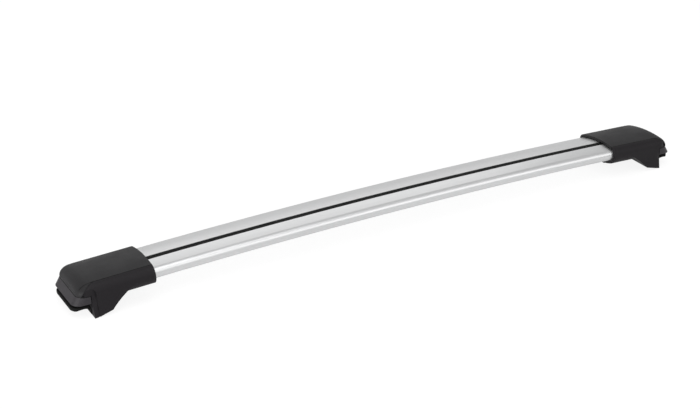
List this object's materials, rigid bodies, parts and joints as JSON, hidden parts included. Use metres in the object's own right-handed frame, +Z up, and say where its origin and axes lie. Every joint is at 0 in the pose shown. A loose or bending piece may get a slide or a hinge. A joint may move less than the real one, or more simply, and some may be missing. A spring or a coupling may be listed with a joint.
{
  "type": "roof rack crossbar",
  "caption": "Arched aerofoil aluminium crossbar with a rubber slot strip and a moulded rail-clamping foot at each end, with lift-off cover and screw-drawn claw.",
  "frame": {"origin": "midway between the feet, centred front to back, on the plane the two legs stand on", "axes": "+X along the bar, +Y towards its thin rear edge, +Z up"},
  "size_m": [0.9894, 0.0964, 0.0543],
  "materials": {
    "anodised_aluminium": "satin anodised with fine lengthwise brushing",
    "strip_rubber": "matt black",
    "cover_plastic": "fine-grained satin",
    "foot_plastic": "fine-grained satin",
    "claw_plastic": "fine-grained satin",
    "plug_plastic": "matt",
    "pad_rubber": "matt",
    "zinc_steel": "zinc plated",
    "spring_steel": "bright wire"
  },
  "bodies": {
    "bar": {"bar_extrusion": "anodised_aluminium", "slot_strip": "strip_rubber", "left_bar_end_plug": "plug_plastic", "right_bar_end_plug": "plug_plastic"},
    "left_foot": {"left_foot_housing": "foot_plastic", "left_leg_pad": "pad_rubber", "left_clamp_bracket": "zinc_steel", "left_bracket_screws": "zinc_steel", "left_barrel_nut": "zinc_steel", "left_claw_spring": "spring_steel", "left_bar_tee_nut": "zinc_steel", "left_bar_clamp_screws": "zinc_steel"},
    "left_claw": {"left_claw_jaw": "claw_plastic", "left_claw_pad": "pad_rubber", "left_claw_slider": "zinc_steel", "left_claw_screws": "zinc_steel", "left_screw_washer": "zinc_steel"},
    "left_screw": {"left_tension_screw": "zinc_steel"},
    "left_cover": {"left_foot_cover": "cover_plastic"},
    "right_foot": {"right_foot_housing": "foot_plastic", "right_leg_pad": "pad_rubber", "right_clamp_bracket": "zinc_steel", "right_bracket_screws": "zinc_steel", "right_barrel_nut": "zinc_steel", "right_claw_spring": "spring_steel", "right_bar_tee_nut": "zinc_steel", "right_bar_clamp_screws": "zinc_steel"},
    "right_claw": {"right_claw_jaw": "claw_plastic", "right_claw_pad": "pad_rubber", "right_claw_slider": "zinc_steel", "right_claw_screws": "zinc_steel", "right_screw_washer": "zinc_steel"},
    "right_screw": {"right_tension_screw": "zinc_steel"},
    "right_cover": {"right_foot_cover": "cover_plastic"}
  },
  "joints": [
    {"name": "left_foot_slide", "type": "slide", "parent": "bar", "child": "left_foot", "axis": [-0.9992, 0, -0.0391], "range_m": [-0.01, 0.012]},
    {"name": "left_claw_slide", "type": "slide", "parent": "left_foot", "child": "left_claw", "axis": [-0.9992, 0, -0.0391], "range_m": [0, 0.01]},
    {"name": "left_screw_turn", "type": "hinge", "parent": "left_claw", "child": "left_screw", "pos_m": [-0.46354, 0, 0.03541], "axis": [-0.9992, 0, -0.0391], "range_deg": [0, 3600]},
    {"name": "left_cover_lift", "type": "slide", "parent": "left_foot", "child": "left_cover", "axis": [-0.0391, 0, 0.9992], "range_m": [0, 0.04]},
    {"name": "right_foot_slide", "type": "slide", "parent": "bar", "child": "right_foot", "axis": [0.9992, 0, -0.0391], "range_m": [-0.01, 0.012]},
    {"name": "right_claw_slide", "type": "slide", "parent": "right_foot", "child": "right_claw", "axis": [0.9992, 0, -0.0391], "range_m": [0, 0.01]},
    {"name": "right_screw_turn", "type": "hinge", "parent": "right_claw", "child": "right_screw", "pos_m": [0.46354, 0, 0.03541], "axis": [0.9992, 0, -0.0391], "range_deg": [0, 3600]},
    {"name": "right_cover_lift", "type": "slide", "parent": "right_foot", "child": "right_cover", "axis": [0.0391, 0, 0.9992], "range_m": [0, 0.04]}
  ],
  "couplings": [
    {"joint": "left_screw_turn", "follows": "left_claw_slide", "rad_per_m": 6283.2},
    {"joint": "right_screw_turn", "follows": "right_claw_slide", "rad_per_m": 6283.2}
  ]
}
